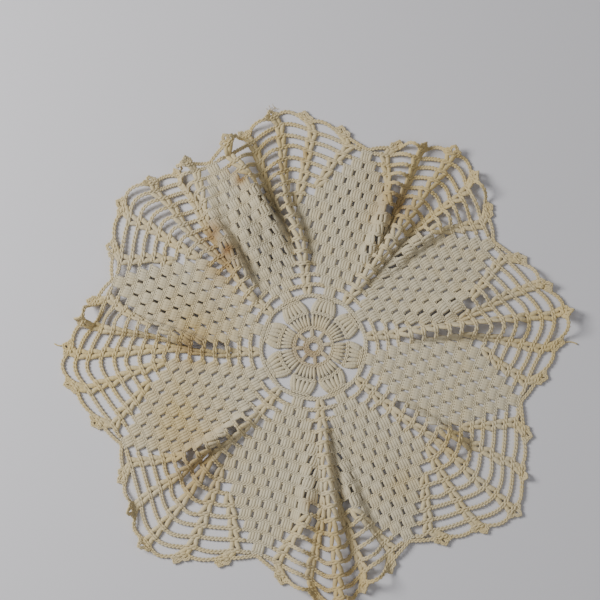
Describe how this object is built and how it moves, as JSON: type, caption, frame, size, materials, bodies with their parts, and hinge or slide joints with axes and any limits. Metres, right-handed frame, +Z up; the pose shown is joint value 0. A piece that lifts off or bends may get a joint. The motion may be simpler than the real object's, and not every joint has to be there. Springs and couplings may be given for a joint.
{
  "type": "crocheted lace doily",
  "caption": "Round crocheted cotton doily, a flower in the middle, close diamond panels and loose ruffled net with a picot edge, lying in soft folds",
  "frame": {"origin": "on the underside of the cloth, under the middle of the flower", "axes": "+Z up out of the surface that the doily lies on; +X and +Y in that surface, with the east panel near +X and the north panel near +Y"},
  "size_m": [0.3285, 0.3227, 0.0196],
  "materials": {
    "crochet_cotton": "matt mercerised cotton thread, aged ivory with yellow-brown staining in the net"
  },
  "bodies": {
    "root": {"doily": "crochet_cotton"}
  },
  "joints": []
}
